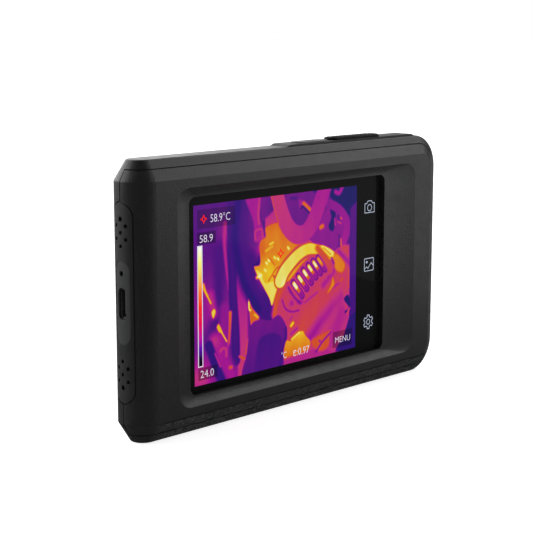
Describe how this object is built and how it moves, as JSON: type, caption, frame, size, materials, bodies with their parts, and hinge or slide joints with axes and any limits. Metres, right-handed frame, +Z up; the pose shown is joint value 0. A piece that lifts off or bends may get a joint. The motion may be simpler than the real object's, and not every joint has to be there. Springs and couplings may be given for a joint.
{
  "type": "thermal imaging camera",
  "caption": "Pocket thermal imaging camera with a touch screen, ridged shutter key, round connector end and a germanium lens in a raised rear housing.",
  "frame": {"origin": "bottom centre of the whole object's box; the camera stands on its bottom edge", "axes": "+Z up, the screen faces -Y and the lens faces +Y; -X is the connector end"},
  "size_m": [0.1382, 0.0242, 0.0845],
  "materials": {
    "casing": "fine sandblasted texture",
    "button_strip": "fine texture",
    "end_trim": "fine texture",
    "port_trim": "satin",
    "screen_glass": "polished, black printed border",
    "adhesive": "foam",
    "lcd": "lit picture",
    "steel_sheet": "sheet",
    "ribbon": "polyimide",
    "chassis_metal": "cast",
    "circuit_board": "solder mask",
    "screw_steel": "plated",
    "screw_black": "black oxide",
    "chip_plastic": "moulded",
    "connector_plastic": "moulded",
    "battery_foil": "pouch foil",
    "lead_jacket": "jacket",
    "key_plastic": "fine texture",
    "key_rubber": "satin",
    "bezel_gloss": "polished",
    "seal_rubber": "matte",
    "anodised": "black anodised",
    "germanium": "coated germanium",
    "sensor_ceramic": "ceramic",
    "flag_metal": "black",
    "window_glass": "coated window",
    "torch_plastic": "clear moulding",
    "brass": "machined"
  },
  "bodies": {
    "root": {"rear_shell": "casing", "front_shell": "casing", "button_pad": "button_strip", "end_insert": "end_trim", "port_plate": "port_trim", "cover_glass": "screen_glass", "glass_adhesive": "adhesive", "lcd_panel": "lcd", "lcd_backlight": "steel_sheet", "display_flex": "ribbon", "chassis_plate": "chassis_metal", "main_board": "circuit_board", "board_screws": "screw_steel", "shield_cans": "steel_sheet", "board_chips": "chip_plastic", "board_connectors": "connector_plastic", "battery": "battery_foil", "battery_pad": "adhesive", "battery_flex": "ribbon", "wifi_antenna": "circuit_board", "antenna_lead": "lead_jacket", "usb_receptacle": "steel_sheet", "usb_tongue": "connector_plastic", "port_board": "circuit_board", "microphone": "steel_sheet", "speaker": "chip_plastic", "sound_meshes": "steel_sheet", "port_flex": "ribbon", "switch_bodies": "steel_sheet", "button_board": "circuit_board", "button_screws": "screw_steel", "button_flex": "ribbon", "lens_bezel": "bezel_gloss", "lens_seal": "seal_rubber", "lens_barrel": "anodised", "lens_retainer": "anodised", "germanium_lens": "germanium", "sensor_board": "circuit_board", "thermal_sensor": "sensor_ceramic", "flag_motor": "chip_plastic", "camera_board": "circuit_board", "camera_module": "chip_plastic", "camera_window": "window_glass", "torch_led": "sensor_ceramic", "torch_lens": "torch_plastic", "tripod_insert": "brass", "housing_screws": "screw_black"},
    "power_key": {"power_button": "key_plastic", "power_plunger": "connector_plastic"},
    "shutter_key": {"shutter_button": "key_rubber", "shutter_plunger": "connector_plastic"},
    "flag": {"shutter_flag": "flag_metal", "flag_shaft": "screw_steel"}
  },
  "joints": [
    {"name": "power_key_slide", "type": "slide", "parent": "root", "child": "power_key", "axis": [0, 0, -1], "range_m": [0, 0.0003], "stiffness_N_per_m": 1500},
    {"name": "shutter_key_slide", "type": "slide", "parent": "root", "child": "shutter_key", "axis": [0, 0, -1], "range_m": [0, 0.0004], "stiffness_N_per_m": 1500},
    {"name": "flag_turn", "type": "hinge", "parent": "root", "child": "flag", "pos_m": [0.026, 0.0023, 0.051], "axis": [0, -1, 0], "range_deg": [0, 48]}
  ]
}
